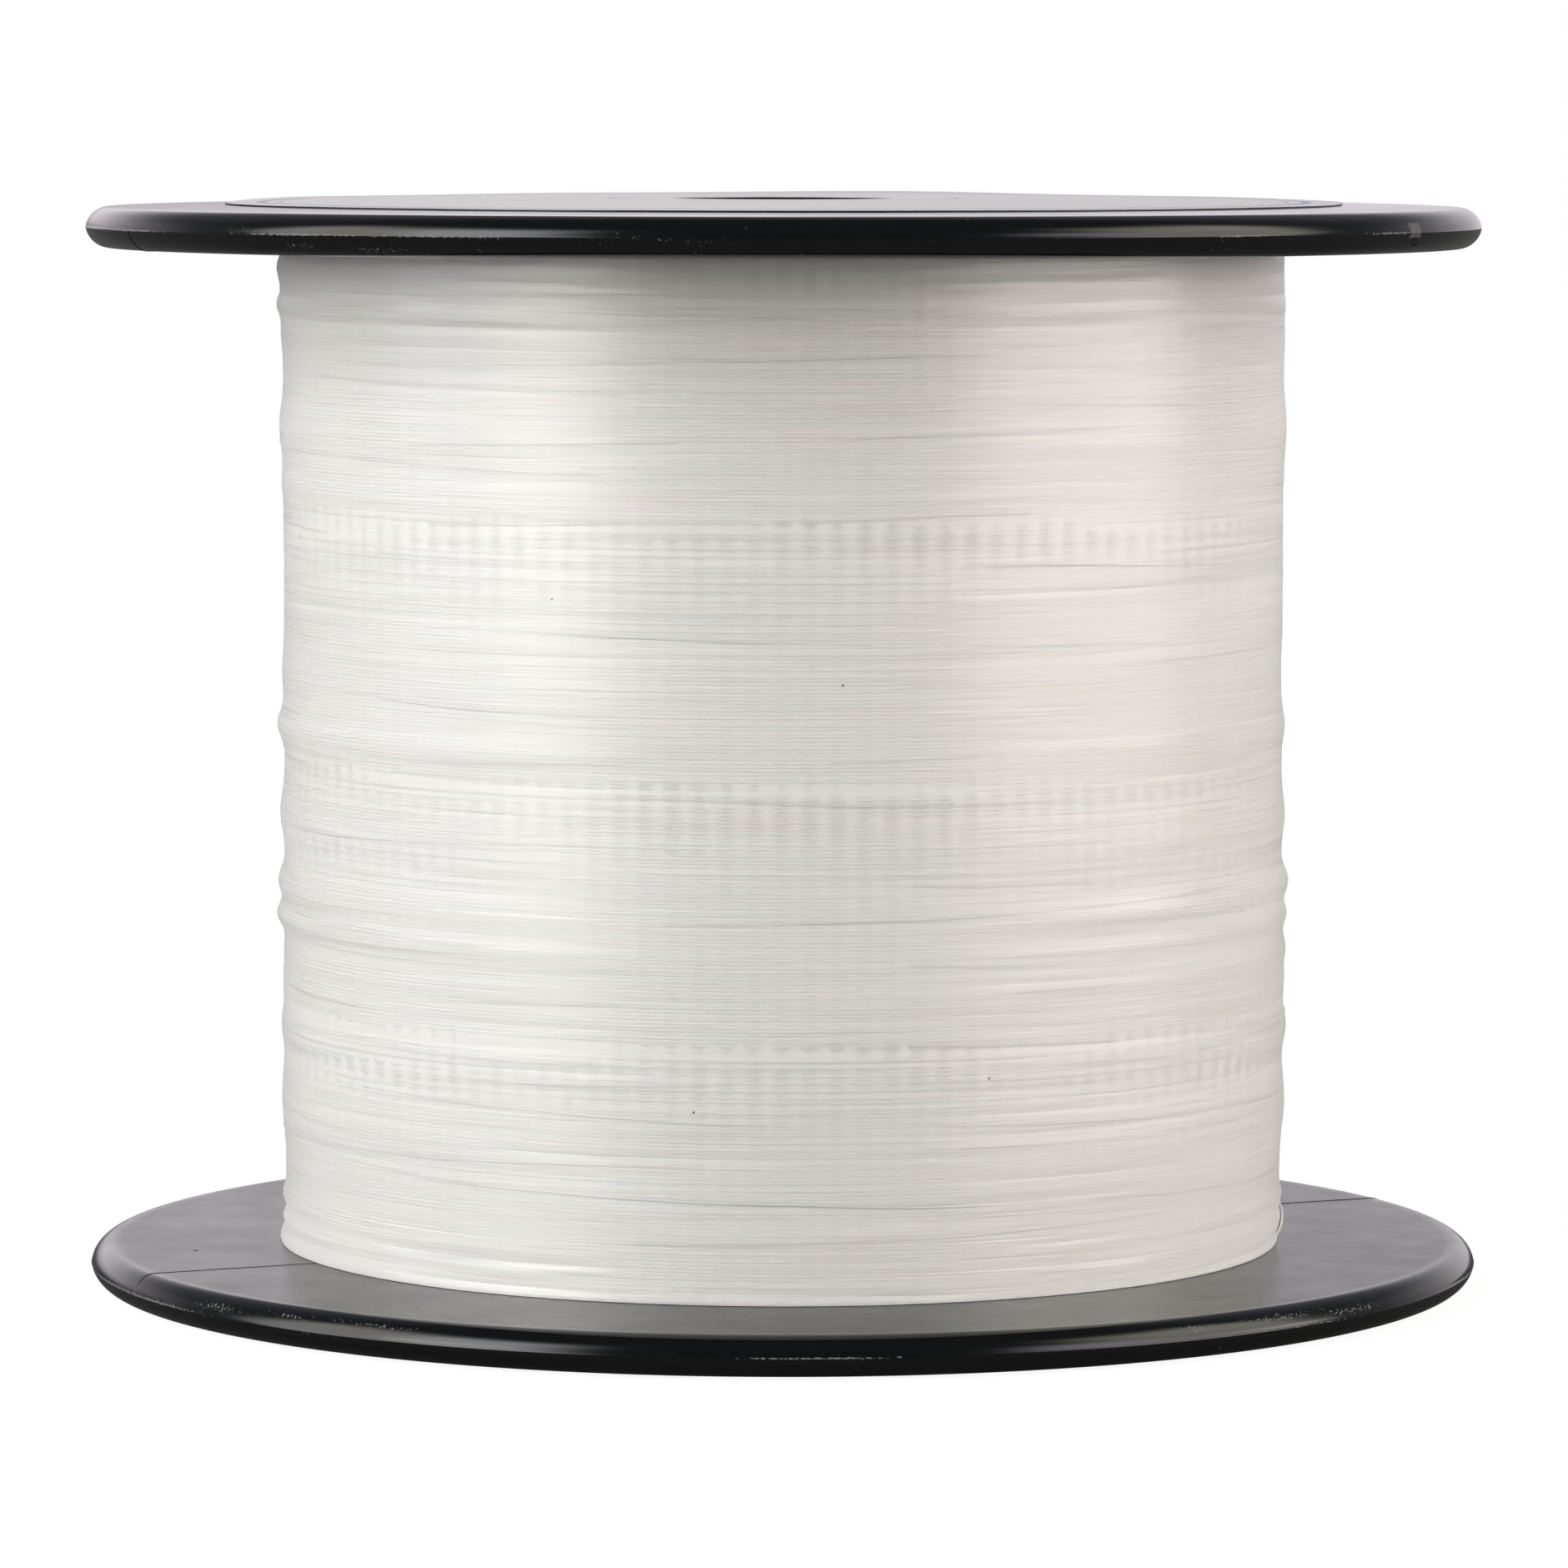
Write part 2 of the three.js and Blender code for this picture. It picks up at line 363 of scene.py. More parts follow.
def bell_curve(tree, value, spread):
    """1 where the value is 0, and falling off to each side over the spread."""
    ratio = calc(tree, "DIVIDE", value, spread)
    return calc(tree, "EXPONENT", calc(tree, "MULTIPLY", calc(tree, "MULTIPLY", ratio, ratio), -1.0))


plastic, tree, shader, place = plain_material("black_plastic")
shader.inputs["IOR"].default_value = 1.5
where = split(tree, place)
from_axis = measured(tree, "LENGTH", from_the_axis(tree, place))
around = degrees_round(tree, where)
# Worn stretches of each rim: degrees round from the front, their spread, height above
# the parting line and its spread in millimetres, and how much is covered with nicks.
# The first ones of each rim are the pale ragged line along the parting itself.
line_rise, line_spread = 0.03, 0.13
worn_lower = (
    (-62, 11, line_rise, line_spread, 0.44), (3, 9, line_rise, line_spread, 0.42),
    (47, 9, line_rise, line_spread, 0.3), (128, 14, line_rise, line_spread, 0.34),
    (-160, 20, line_rise, line_spread, 0.34), (-70, 3, 0.6, 0.5, 0.26), (-59, 5, 0.3, 0.5, 0.24),
    (-51, 5, 0.9, 0.6, 0.29), (-42.5, 4, 1.2, 0.4, 0.28), (-34, 9, 1.3, 0.35, 0.25),
    (34, 4, 1.1, 0.5, 0.27), (43, 8, 1.1, 0.5, 0.28), (52, 6, 0.7, 0.6, 0.28),
    (64, 5, 0.9, 0.5, 0.22), (112, 7, -0.5, 0.7, 0.24), (171, 6, 0.8, 0.6, 0.25),
    (-128, 9, -0.6, 0.6, 0.24),
)
worn_upper = (
    (-66, 9, line_rise, line_spread, 0.46), (-41, 8, line_rise, line_spread, 0.46),
    (-27, 9, line_rise, line_spread, 0.42), (38, 5, line_rise, line_spread, 0.42),
    (57, 6, line_rise, line_spread, 0.42), (150, 18, line_rise, line_spread, 0.34),
    (-115, 12, line_rise, line_spread, 0.34), (-41, 2.5, -1.0, 0.5, 0.26), (-33, 6, -1.3, 0.4, 0.24),
    (-46, 6, 0.4, 0.8, 0.15), (-24, 2, -1.1, 0.5, 0.2), (36, 3, -1.1, 0.5, 0.2),
    (66, 3, 0.5, 0.7, 0.22), (100, 8, -0.9, 0.6, 0.24), (-170, 8, 0.7, 0.6, 0.24),
)


def worn_cover(stretches, middle):
    """How much of a rim is covered with nicks, by its worn stretches."""
    cover = None
    rise = calc(tree, "SUBTRACT", where["Z"], middle)
    for turn, turn_spread, height, height_spread, most in stretches:
        near_turn = bell_curve(tree, calc(tree, "SUBTRACT", around, turn), turn_spread)
        near_height = bell_curve(tree, calc(tree, "SUBTRACT", rise, height * MM), height_spread * MM)
        near = calc(tree, "MULTIPLY", calc(tree, "MULTIPLY", near_turn, near_height), most)
        cover = near if cover is None else calc(tree, "MAXIMUM", cover, near)
    return cover


# Nicks: besides the worn stretches, a belt at each parting line is lightly rubbed in
# patches all round
nicks_per_metre = 2700
nick_reach = 1.2 * MM
nick_squeeze = 2
belt_drop = 0.2 * MM
belt_reach = 1.1 * MM
belt_cover = 0.16
patches = ramp(tree, noise(tree, place, scale=60.0, detail=2.0), start=0.42, end=0.62)
nick_cover = calc(tree, "MAXIMUM", worn_cover(worn_lower, lower_middle),
                  worn_cover(worn_upper, upper_middle))
for middle in (lower_middle, upper_middle):
    belt = bell_curve(tree, calc(tree, "SUBTRACT", where["Z"], middle - belt_drop), belt_reach)
    belt = calc(tree, "MULTIPLY", calc(tree, "MULTIPLY", belt, patches), belt_cover)
    nick_cover = calc(tree, "MAXIMUM", nick_cover, belt)
on_rim = calc(tree, "GREATER_THAN", from_axis, flange_radius - nick_reach)
nick_cover = calc(tree, "MULTIPLY", nick_cover, on_rim)
squeezed = vector(tree, "MULTIPLY", place, (1, 1, nick_squeeze))
nicks = node(tree, "ShaderNodeGroup",
             {"Place": squeezed, "Per Metre": nicks_per_metre, "Cover": nick_cover},
             node_tree=specks).outputs[0]
# Dust: fine pale specks all over
dust_per_metre = 1300
dust_cover = 0.085
dust = node(tree, "ShaderNodeGroup",
            {"Place": place, "Per Metre": dust_per_metre, "Cover": dust_cover},
            node_tree=specks).outputs[0]
# Chip: a torn patch with a ragged edge on the upper rim, by degrees round from the
# front and height from the parting line
chip_turn = 60.8
chip_width = 1.0
chip_rise = 0.25 * MM
chip_height = 0.7 * MM
chip_reach = 1.5
across = calc(tree, "ABSOLUTE", calc(tree, "SUBTRACT", around, chip_turn))
across = calc(tree, "DIVIDE", across, chip_width)
upward = calc(tree, "ABSOLUTE", calc(tree, "SUBTRACT", where["Z"], upper_middle + chip_rise))
upward = calc(tree, "DIVIDE", upward, chip_height)
ragged = noise(tree, place, scale=1800.0, detail=3.0)
from_chip = calc(tree, "ADD", calc(tree, "MAXIMUM", across, upward), ragged)
chip = calc(tree, "LESS_THAN", from_chip, chip_reach)
# Pit: a small dull hollow in the lower flange's inner face
pit_place = Vector((-58.8, -12.3, 4.25)) * MM
pit_size = 0.3 * MM
pit = calc(tree, "LESS_THAN", measured(tree, "DISTANCE", place, pit_place), pit_size)
# Colour: nicks, dust and chip show paler than the plastic, each by its own share
nick_paleness = 0.85
dust_paleness = 0.7
chip_paleness = 0.75
black = (0.004, 0.004, 0.0045, 1)
scuffed = (0.22, 0.22, 0.22, 1)
marks = calc(tree, "MAXIMUM", calc(tree, "MULTIPLY", nicks, nick_paleness),
             calc(tree, "MULTIPLY", dust, dust_paleness))
torn = calc(tree, "MULTIPLY", calc(tree, "MULTIPLY", chip, ragged), chip_paleness)
marks = calc(tree, "MAXIMUM", marks, torn)
tree.links.new(mixed_colour(tree, marks, black, scuffed), shader.inputs["Base Color"])
# Gloss: clouded by the flow of the plastic, duller on the flat faces below the upper
# parting line than on top, and dullest in the marks
least_roughness = 0.1
flow_roughness = 0.1
face_roughness = 0.13
mark_roughness = 0.5
pit_roughness = 0.9
face_edge = flange_radius - 1 * MM
face_full = flange_radius - 3 * MM
flow = noise(tree, place, scale=160.0, detail=6.0)
flat_face = ramp(tree, from_axis, start=face_edge, end=face_full)
gloss = calc(tree, "ADD", calc(tree, "MULTIPLY", flow, flow_roughness), least_roughness)
dull_face = calc(tree, "MULTIPLY", flat_face, calc(tree, "LESS_THAN", where["Z"], upper_middle))
gloss = calc(tree, "ADD", gloss, calc(tree, "MULTIPLY", dull_face, face_roughness))
dull = calc(tree, "MAXIMUM", calc(tree, "MULTIPLY", marks, mark_roughness),
            calc(tree, "MULTIPLY", pit, pit_roughness))
tree.links.new(calc(tree, "ADD", gloss, dull), shader.inputs["Roughness"])
# Grain: the mould's fine texture, which is faint on the rims
grain_depth = 0.004 * MM
rim_grain = 0.3
grain = calc(tree, "MULTIPLY", noise(tree, place, scale=1900.0, detail=3.0),
             calc(tree, "ADD", flat_face, rim_grain))
dimples = node(tree, "ShaderNodeBump", {"Strength": 0.4, "Distance": grain_depth, "Height": grain})
tree.links.new(dimples.outputs[0], shader.inputs["Normal"])

body.data.materials.clear()
body.data.materials.append(plastic)
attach(body, "root")
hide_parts("spool_body")


def thin_tube(name, points, thickness):
    """A thin round tube through some points, as a plain mesh."""
    curve = bpy.data.curves.new(name, "CURVE")
    curve.dimensions = "3D"
    curve.bevel_depth = thickness / 2
    curve.bevel_resolution = 2
    curve.use_fill_caps = True
    run = curve.splines.new("POLY")
    run.points.add(len(points) - 1)
    for point, place in zip(run.points, points):
        point.co = (*place, 1)
    source = link(name, curve)
    graph = bpy.context.evaluated_depsgraph_get()
    mesh = bpy.data.meshes.new_from_object(source.evaluated_get(graph))
    bpy.data.objects.remove(source)
    mesh.shade_smooth()
    return link(name, mesh)


def round_from_front(degrees, radius, height):
    """A point by degrees round the axis from the camera's side, radius and height."""
    turn = math.radians(degrees)
    return radius * math.sin(turn), -radius * math.cos(turn), height


# Sliver of plastic torn from the chip, which still hangs on by its root: degrees round
# from the front, degrees down the rim's section, and distance from the rim
sliver_thickness = 0.11 * MM
sliver_run = (
    (60.75, 12, -0.06 * MM),
    (60.9, 20, 0.08 * MM),
    (61.2, 29, 0.2 * MM),
    (61.2, 36, 0.24 * MM),
    (60.95, 43, 0.12 * MM),
)
sliver_points = []
for turn, down_rim, off_rim in sliver_run:
    radius, height = rim_point(-math.radians(down_rim), upper_middle)
    radius += off_rim
    sliver_points.append(round_from_front(turn, radius, height))
sliver = thin_tube("torn_sliver", sliver_points, sliver_thickness)
sliver.data.materials.clear()
sliver.data.materials.append(plastic)
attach(sliver, "root")


# Start tape. A strip of clear film on the barrel, which holds down the first turn
# under all the others.
film, tree, shader, place = plain_material("yellowed_film")
shader.inputs["Roughness"].default_value = 0.35
shader.inputs["Transmission Weight"].default_value = 0.3
amber = (0.66, 0.55, 0.32, 1)
straw = (0.78, 0.7, 0.46, 1)
cloud = noise(tree, place, scale=300.0, detail=4.0)
tree.links.new(mixed_colour(tree, cloud, amber, straw), shader.inputs["Base Color"])
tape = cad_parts["start_tape"]
tape.data.materials.clear()
tape.data.materials.append(film)


# Nylon line. Clear white monofilament wound to the flanges in close, slightly
# wandering turns, with a few that cross the rest, on top of the layers below.
line_diameter = 0.36 * MM
line_sides = 6
pack_radius = 50.38 * MM
turn_radius = pack_radius - line_diameter / 2
pack_bands = 4
turns_per_band = 70
points_per_turn = 120
# The layers below the turns, which fill the grooves between them from behind
under_fill = 0.15 * MM
under_radius = turn_radius + under_fill
under_inside = barrel_radius + 0.75 * MM
under_bottom = lower_inner + 0.05 * MM
under_top = upper_inner - 0.3 * MM
under_rows = 220
under_sides = 240
# The pack is fuller in places: height from its middle, rise at the left and at the
# right, and spread, in millimetres
swells = (
    (47.9, 0.6, -0.05, 1.7),
    (44.4, 0.6, 0.15, 1.2),
    (41.5, 0.2, 0.05, 2.0),
    (32.2, 0.4, 0.3, 2.8),
    (26.5, 0.2, 0.0, 1.5),
    (7.5, 0.2, -0.12, 3.0),
    (2.2, 0.75, 0.28, 1.6),
    (-6.8, 0.43, 0.35, 2.4),
    (-13.6, 0.68, 0.75, 1.5),
    (-16.9, 0.85, 0.55, 1.2),
    (-20.2, 0.1, 0.4, 1.5),
    (-23.5, 0.2, 0.35, 2.4),
    (-28.2, 0.4, 0.55, 2.0),
    (-35.5, 0.4, 0.42, 3.6),
    (-45.2, 0.3, 0.2, 0.8),
    (-47.6, 0.25, 0.1, 0.5),
    (-49.8, 0.6, -0.2, 1.2),
)
uneven_rise = 0.24 * MM
# Bundles of turns, with creases between them
bundle_height = 2.1 * MM
bundle_bend = 0.9
bundle_rise = 0.008 * MM
bundle_rise_low_down = 0.014 * MM
bundle_low_reach = 40.0 * MM
bundle_rise_at_ends = 0.06 * MM
bundle_end_reach = 7.0 * MM


def stretched_noise(tree, place, along, upward, detail, **more):
    """Noise drawn out round the pack: scales along a turn and up the pack, per metre."""
    drawn = vector(tree, "MULTIPLY", place, (along, along, upward))
    inputs = {"Vector": drawn, "Scale": 1.0, "Detail": detail, **more}
    settings = {"noise_dimensions": "4D"} if "W" in more else {}
    return node(tree, "ShaderNodeTexNoise", inputs, **settings).outputs


def pack_rise(tree, place, swell_share=1.0):
    """How far the pack stands out at a place. The finish sees only a share of its swells."""
    where = split(tree, place)
    rightward = split(tree, vector(tree, "NORMALIZE", from_the_axis(tree, place)))["X"]
    leftward = calc(tree, "MULTIPLY", rightward, -1.0)
    to_right = calc(tree, "POWER", calc(tree, "MAXIMUM", rightward, 0.0), 2.0)
    to_left = calc(tree, "POWER", calc(tree, "MAXIMUM", leftward, 0.0), 2.0)
    uneven = stretched_noise(tree, place, along=22, upward=150, detail=2.0)[0]
    total = calc(tree, "MULTIPLY", calc(tree, "SUBTRACT", uneven, 0.5), uneven_rise)
    for height, rise_left, rise_right, spread in swells:
        bell = bell_curve(tree, calc(tree, "SUBTRACT", where["Z"], mid_height + height * MM), spread * MM)
        rise = calc(tree, "ADD", calc(tree, "MULTIPLY", to_left, rise_left * MM),
                    calc(tree, "MULTIPLY", to_right, rise_right * MM))
        total = calc(tree, "ADD", total, calc(tree, "MULTIPLY", bell, rise))
    total = calc(tree, "MULTIPLY", total, swell_share)
    # Bundles of turns run round the pack, with creases between them that come and go,
    # deepest near the flanges and deeper low down than high up
    bend = stretched_noise(tree, place, along=16, upward=70, detail=1.0)[0]
    bend = calc(tree, "MULTIPLY", bend, bundle_bend)
    phase = calc(tree, "ADD", calc(tree, "DIVIDE", where["Z"], bundle_height), bend)
    rounded = calc(tree, "ABSOLUTE", calc(tree, "SINE", calc(tree, "MULTIPLY", phase, math.pi)))
    there = stretched_noise(tree, place, along=38, upward=330, detail=1.0)[0]
    there = ramp(tree, there, start=0.42, end=0.62)
    from_end = calc(tree, "MINIMUM", calc(tree, "SUBTRACT", where["Z"], lower_inner),
                    calc(tree, "SUBTRACT", upper_inner, where["Z"]))
    near_end = bell_curve(tree, from_end, bundle_end_reach)
    low_down = bell_curve(tree, calc(tree, "SUBTRACT", where["Z"], lower_inner), bundle_low_reach)
    size = calc(tree, "ADD", calc(tree, "MULTIPLY", near_end, bundle_rise_at_ends), bundle_rise)
    size = calc(tree, "ADD", size, calc(tree, "MULTIPLY", low_down, bundle_rise_low_down))
    bundle = calc(tree, "MULTIPLY", calc(tree, "SUBTRACT", rounded, 2 / math.pi), there)
    return calc(tree, "ADD", total, calc(tree, "MULTIPLY", bundle, size))


def moved_out(tree, place, extra_radius, height):
    """A place pushed out from the axis to its radius plus an extra, at a height."""
    flat = from_the_axis(tree, place)
    radius = calc(tree, "ADD", measured(tree, "LENGTH", flat), extra_radius)
    pushed = scaled(tree, vector(tree, "NORMALIZE", flat), radius)
    lifted = node(tree, "ShaderNodeCombineXYZ", {"Z": height}).outputs[0]
    return vector(tree, "ADD", pushed, lifted)


def centred(tree, value, amount):
    """A noise value from 0 to 1, as up to that amount to each side of 0."""
    return calc(tree, "MULTIPLY", calc(tree, "MULTIPLY", calc(tree, "SUBTRACT", value, 0.5), 2.0), amount)


# Wound turns: one spiral of line, each turn wandering by its own small amount
turns_tree = bpy.data.node_groups.new("wound_turns", "GeometryNodeTree")
for title, kind in (("Turns", "Float"), ("Bottom", "Float"), ("Top", "Float"), ("Radius", "Float"),
                    ("Line Diameter", "Float"), ("Points per Turn", "Int"), ("Wander", "Float"),
                    ("Lift", "Float"), ("Dive", "Float"), ("Leftward", "Bool"), ("Seed", "Float"),
                    ("Finish", "Material")):
    turns_tree.interface.new_socket(title, in_out="INPUT", socket_type="NodeSocket" + kind)
turns_tree.interface.new_socket("Geometry", in_out="OUTPUT", socket_type="NodeSocketGeometry")
given = turns_tree.nodes.new("NodeGroupInput").outputs
result = turns_tree.nodes.new("NodeGroupOutput").inputs[0]
spiral = node(turns_tree, "GeometryNodeCurveSpiral", {
    "Resolution": given["Points per Turn"], "Rotations": given["Turns"],
    "Start Radius": given["Radius"], "End Radius": given["Radius"],
    "Height": calc(turns_tree, "SUBTRACT", given["Top"], given["Bottom"]),
    "Reverse": given["Leftward"],
}).outputs[0]
raised = node(turns_tree, "ShaderNodeCombineXYZ", {"Z": given["Bottom"]}).outputs[0]
at_place = vector(turns_tree, "ADD", node(turns_tree, "GeometryNodeInputPosition").outputs[0], raised)
own = stretched_noise(turns_tree, at_place, along=24, upward=2800, detail=1.0, W=given["Seed"])["Color"]
own = split(turns_tree, own)
slow = stretched_noise(turns_tree, at_place, along=26, upward=90, detail=0.0, W=given["Seed"])[0]
lift = calc(turns_tree, "ADD", centred(turns_tree, own["X"], given["Lift"]),
            centred(turns_tree, slow, given["Dive"]))
lift = calc(turns_tree, "ADD", lift, pack_rise(turns_tree, at_place))
height = calc(turns_tree, "ADD", split(turns_tree, at_place)["Z"],
              centred(turns_tree, own["Y"], given["Wander"]))
half_line = calc(turns_tree, "MULTIPLY", given["Line Diameter"], 0.5)
height = calc(turns_tree, "MAXIMUM", height, calc(turns_tree, "ADD", half_line, lower_inner))
height = calc(turns_tree, "MINIMUM", height, calc(turns_tree, "SUBTRACT", upper_inner, half_line))
laid = node(turns_tree, "GeometryNodeSetPosition",
            {"Geometry": spiral, "Position": moved_out(turns_tree, at_place, lift, height)}).outputs[0]
section = node(turns_tree, "GeometryNodeCurvePrimitiveCircle",
               {"Resolution": line_sides, "Radius": half_line}).outputs[0]
strand = node(turns_tree, "GeometryNodeCurveToMesh",
              {"Curve": laid, "Profile Curve": section, "Fill Caps": True}).outputs[0]
strand = node(turns_tree, "GeometryNodeSetShadeSmooth", {"Geometry": strand}).outputs[0]
strand = node(turns_tree, "GeometryNodeRealizeInstances", {"Geometry": strand}).outputs[0]
strand = node(turns_tree, "GeometryNodeSetMaterial",
              {"Geometry": strand, "Material": given["Finish"]}).outputs[0]
turns_tree.links.new(strand, result)

nylon, tree, shader, place = plain_material("clear_white_nylon")
shader.inputs["IOR"].default_value = 1.53
shader.inputs["Subsurface Weight"].default_value = 0.5
shader.inputs["Subsurface Radius"].default_value = (1, 0.95, 0.9)
shader.inputs["Subsurface Scale"].default_value = 0.6 * MM
shader.inputs["Specular IOR Level"].default_value = 0.8
# Light that passes through the clear line evens out the shading of each turn, so the
# normal leans from the turn's own towards the whole pack's, with its bundles. Each
# turn also leans a little along itself, by an amount of its own, and grooves show here
# and there between two turns, sunk a little and darkened by painted shade.
pack_share = 0.88
swell_share = 0.18
turn_lean = 0.17
stroke_depth = 0.008 * MM
groove_depth = 0.005 * MM
painted_groove_shadow_amount = 0.34
pack_normal = vector(tree, "NORMALIZE", from_the_axis(tree, place))
own_normal = node(tree, "ShaderNodeNewGeometry").outputs["Normal"]
leaned = node(tree, "ShaderNodeMix", {0: pack_share, 4: own_normal, 5: pack_normal},
              data_type="VECTOR").outputs[1]
turnwise = vector(tree, "CROSS_PRODUCT", (0, 0, 1), pack_normal)
by_turn = stretched_noise(tree, place, along=85, upward=3400, detail=1.0)[0]
by_turn = calc(tree, "MULTIPLY", calc(tree, "SUBTRACT", by_turn, 0.5), turn_lean)
leaned = vector(tree, "NORMALIZE", vector(tree, "ADD", leaned, scaled(tree, turnwise, by_turn)))
strokes = stretched_noise(tree, place, along=90, upward=2000, detail=2.0)[0]
strokes = calc(tree, "MULTIPLY", strokes, stroke_depth)
groove_and_shadow = stretched_noise(tree, place, along=55, upward=3600, detail=1.0)[0]
groove_here = stretched_noise(tree, place, along=24, upward=110, detail=1.0)[0]
groove_and_shadow = calc(tree, "MULTIPLY", ramp(tree, groove_and_shadow, start=0.55, end=0.72),
              ramp(tree, groove_here, start=0.36, end=0.58))
relief = calc(tree, "SUBTRACT", strokes, calc(tree, "MULTIPLY", groove_and_shadow, groove_depth))
relief = calc(tree, "ADD", relief, pack_rise(tree, place, swell_share))
creased = node(tree, "ShaderNodeBump",
               {"Strength": 1.0, "Distance": 1.0, "Height": relief, "Normal": leaned})
tree.links.new(creased.outputs[0], shader.inputs["Normal"])
# Colour: cream to clear white in streaks, with a pink blush here and there, and
# painted shade in the grooves
cream = (0.89, 0.885, 0.81, 1)
clear_white = (0.965, 0.97, 0.955, 1)
pink_white = (0.96, 0.91, 0.89, 1)
groove_shadow_colour = (0.76, 0.73, 0.66, 1)
streaks = stretched_noise(tree, place, along=45, upward=1100, detail=3.0)[0]
broad = stretched_noise(tree, place, along=9, upward=130, detail=2.0)[0]
tone = calc(tree, "MULTIPLY", calc(tree, "ADD", streaks, broad), 0.5)
nylon_colour = mixed_colour(tree, tone, cream, clear_white)
blush = ramp(tree, stretched_noise(tree, place, along=50, upward=900, detail=2.0)[0], start=0.5, end=0.8)
nylon_colour = mixed_colour(tree, blush, nylon_colour, pink_white)
# Painted shade: the grooves between turns are darkened in colour for the shadow in them
painted_groove_shadow = calc(tree, "MULTIPLY", groove_and_shadow, painted_groove_shadow_amount)
nylon_colour = mixed_colour(tree, painted_groove_shadow, nylon_colour, groove_shadow_colour)
# A few dark specks of dust on the line: degrees round from the front, and height from
# the middle in millimetres
speck_size = 0.11 * MM
speck_colour = (0.12, 0.1, 0.09, 1)
dust_specks = ((-25.9, 17.3), (6.6, 9.4), (23.2, -28.6), (-9.6, -31.5), (140, -12), (-118, 24), (171, 33))
on_pack = vector(tree, "ADD", scaled(tree, pack_normal, pack_radius),
                vector(tree, "MULTIPLY", place, (0, 0, 1)))
for turn, height in dust_specks:
    speck_place = round_from_front(turn, pack_radius, mid_height + height * MM)
    speck = calc(tree, "LESS_THAN", measured(tree, "DISTANCE", on_pack, speck_place), speck_size)
    nylon_colour = mixed_colour(tree, speck, nylon_colour, speck_colour)
tree.links.new(nylon_colour, shader.inputs["Base Color"])
least_line_roughness = 0.24
streak_roughness = 0.16
roughness = calc(tree, "ADD", calc(tree, "MULTIPLY", streaks, streak_roughness), least_line_roughness)
tree.links.new(roughness, shader.inputs["Roughness"])

under_outline = [(under_inside, under_bottom)]
under_outline += [(under_radius, under_bottom + (under_top - under_bottom) * i / under_rows)
                  for i in range(under_rows + 1)]
under_outline.append((under_inside, under_top))
under = turned("line_under_turns", under_outline, under_sides)
under.data.materials.append(nylon)

swell_tree = bpy.data.node_groups.new("swollen_pack", "GeometryNodeTree")
swell_tree.interface.new_socket("Geometry", in_out="INPUT", socket_type="NodeSocketGeometry")
swell_tree.interface.new_socket("Geometry", in_out="OUTPUT", socket_type="NodeSocketGeometry")
swell_from = swell_tree.nodes.new("NodeGroupInput").outputs[0]
swell_to = swell_tree.nodes.new("NodeGroupOutput").inputs[0]
swell_place = node(swell_tree, "GeometryNodeInputPosition").outputs[0]
swell_rise = pack_rise(swell_tree, swell_place)
swell_radius = measured(swell_tree, "LENGTH", from_the_axis(swell_tree, swell_place))
outside = calc(swell_tree, "GREATER_THAN", swell_radius, (under_inside + under_radius) / 2)
swollen = node(swell_tree, "GeometryNodeSetPosition", {
    "Geometry": swell_from, "Selection": outside,
    "Position": moved_out(swell_tree, swell_place, swell_rise, split(swell_tree, swell_place)["Z"]),
}).outputs[0]
swell_tree.links.new(swollen, swell_to)
under.modifiers.new("swell", "NODES").node_group = swell_tree
baked(under, sharp_angle=40)
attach(under, "root")
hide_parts("line_inner_layers")


def wound(name, **given):
    """Turns of line from the node tree above, as a plain mesh."""
    piece = link(name, bpy.data.meshes.new(name))
    modifier = piece.modifiers.new("turns", "NODES")
    modifier.node_group = turns_tree
    for item in turns_tree.interface.items_tree:
        if item.in_out == "INPUT":
            modifier[item.identifier] = given[item.name.replace(" ", "_").lower()]
    baked(piece)
    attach(piece, "root")
    return piece


band_bottom = lower_inner + line_diameter / 2
band_height = (upper_inner - lower_inner - line_diameter) / pack_bands
outer = []
for i in range(pack_bands):
    outer.append(wound(
        f"line_outer_turns_{i + 1}", turns=float(turns_per_band),
        bottom=band_bottom + i * band_height, top=band_bottom + (i + 1) * band_height,
        radius=turn_radius, line_diameter=line_diameter, points_per_turn=points_per_turn,
        wander=0.1 * MM, lift=0.035 * MM, dive=0.0, leftward=False, seed=2.0, finish=nylon))
crossing_turns = 13.0
crossing_depth = 0.02 * MM
for name, leftward, seed in (("line_crossing_turns", True, 5.0), ("line_crossing_back", False, 9.0)):
    outer.append(wound(
        name, turns=crossing_turns, bottom=band_bottom, top=upper_inner - line_diameter / 2,
        radius=turn_radius - crossing_depth, line_diameter=line_diameter, points_per_turn=points_per_turn,
        wander=0.3 * MM, lift=0.02 * MM, dive=0.25 * MM, leftward=leftward, seed=seed, finish=nylon))
for piece in outer:
    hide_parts("line_outer_layer")


# Slack turn. Near the lower flange one turn has come loose and stands off the pack
# at the right, before it is drawn back under its neighbours.
slack_rise = 0.85 * MM
slack_depth = 0.45 * MM
slack_top = lower_inner + 4.6 * MM
slack_foot = lower_inner + 0.2 * MM
slack_steps = 35
slack_span = math.radians(34)
slack_middle = math.radians(-2)
slack_points = []
for i in range(slack_steps + 1):
    along = i / slack_steps
    angle = slack_middle + slack_span * (0.5 - along)
    radius = turn_radius - slack_depth + slack_rise * math.sin(math.pi * along) ** 2
    drop = along * along * (3 - 2 * along)
    slack_points.append((radius * math.cos(angle), radius * math.sin(angle),
                         slack_top + (slack_foot - slack_top) * drop))
slack = thin_tube("line_slack_turn", slack_points, line_diameter)
slack.data.materials.clear()
slack.data.materials.append(nylon)
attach(slack, "root")
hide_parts("line_outer_layer")


